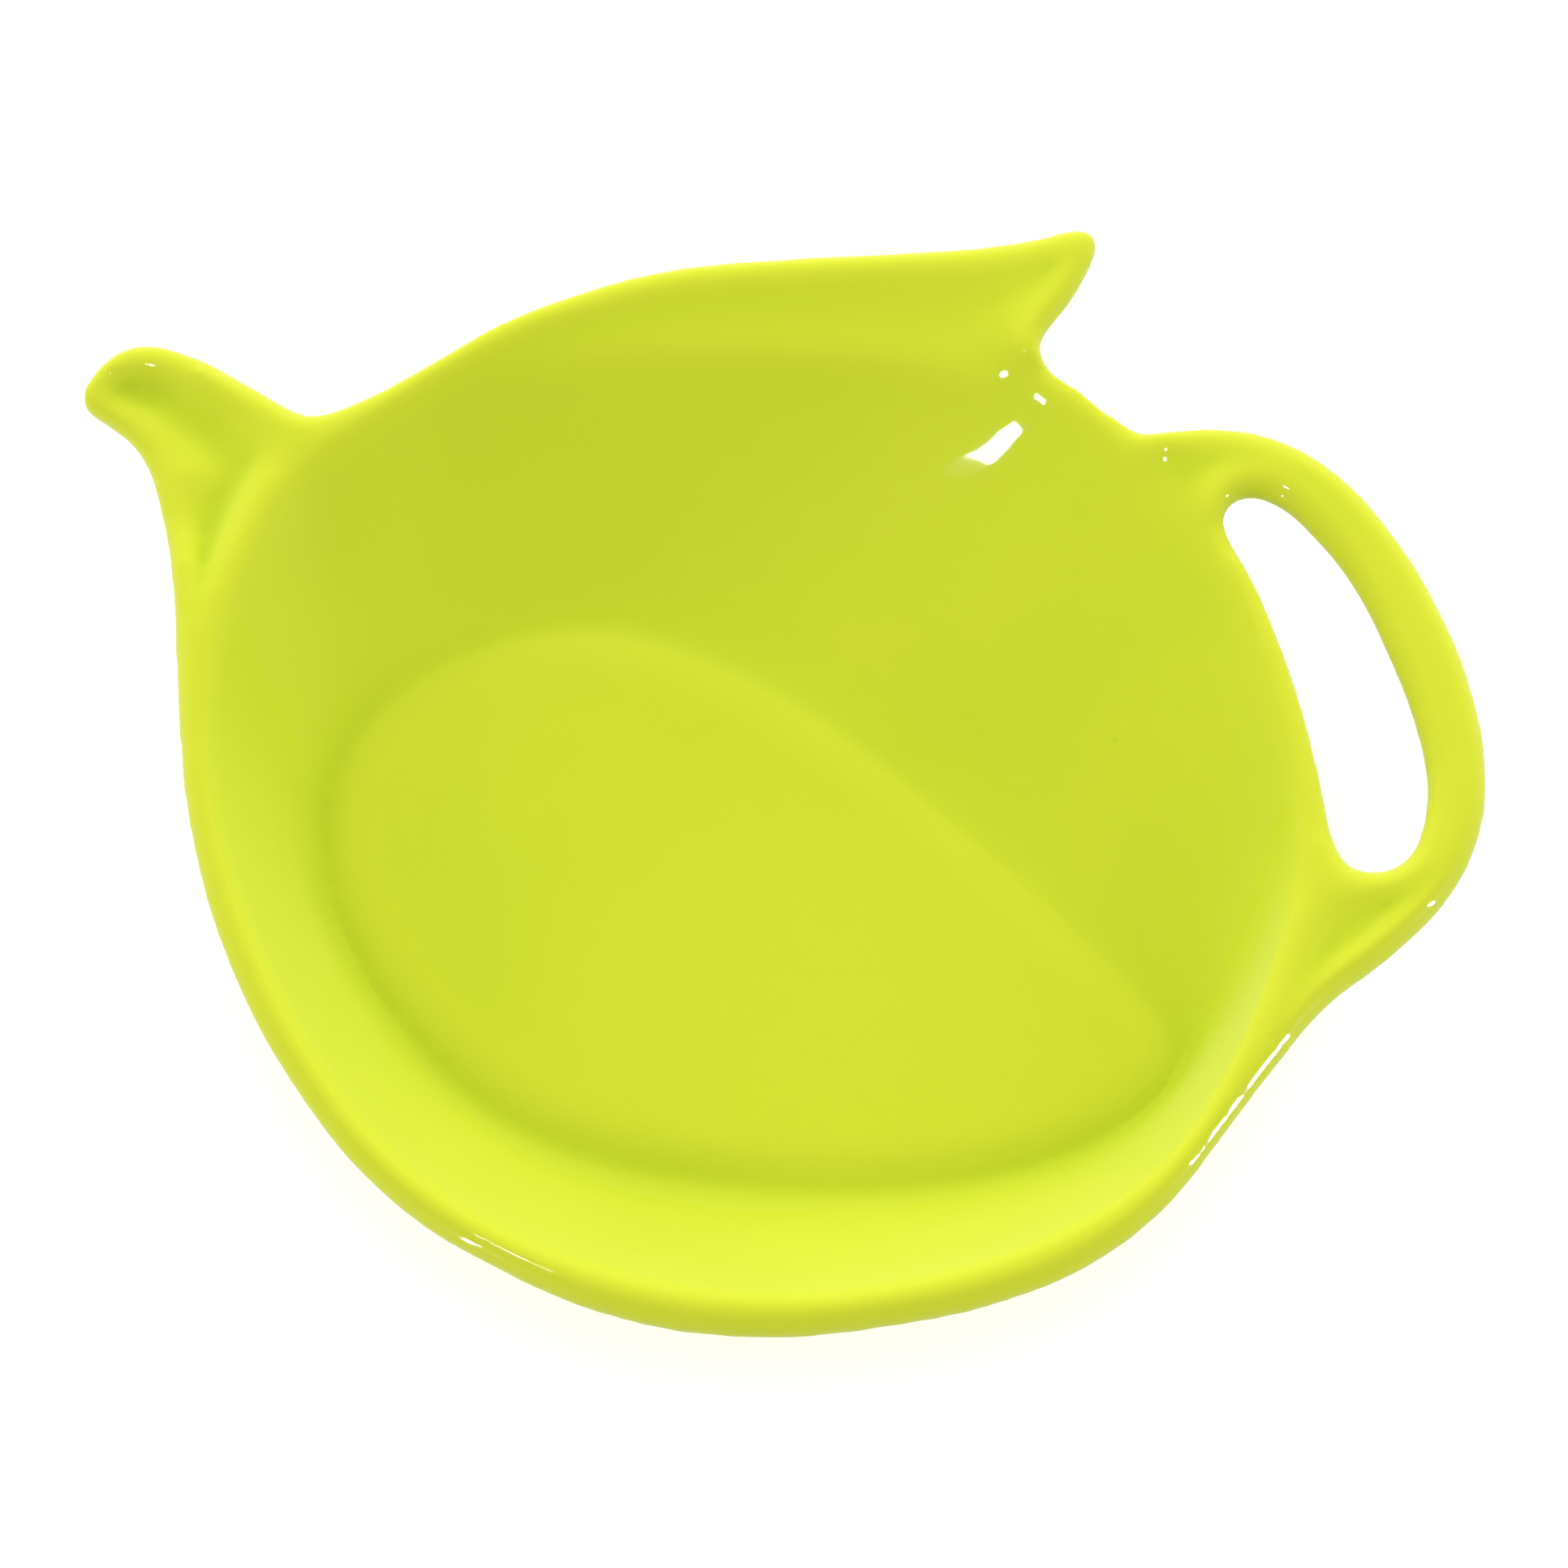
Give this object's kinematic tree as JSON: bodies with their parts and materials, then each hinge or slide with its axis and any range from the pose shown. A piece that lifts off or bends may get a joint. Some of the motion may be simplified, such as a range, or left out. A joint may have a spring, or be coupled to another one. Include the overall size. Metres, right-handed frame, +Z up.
{
  "type": "tea bag rest",
  "caption": "Shallow glazed dish in the outline of a teapot, with spout, lid flange and loop handle on its rim, for resting a used tea bag.",
  "frame": {"origin": "on the table, under the middle of the whole outline", "axes": "+X towards the handle, -X towards the spout, +Y towards the lid, +Z up out of the bowl"},
  "size_m": [0.126, 0.1044, 0.017],
  "materials": {
    "glaze": "glossy lime green glaze"
  },
  "bodies": {
    "root": {"dish": "glaze"}
  },
  "joints": []
}
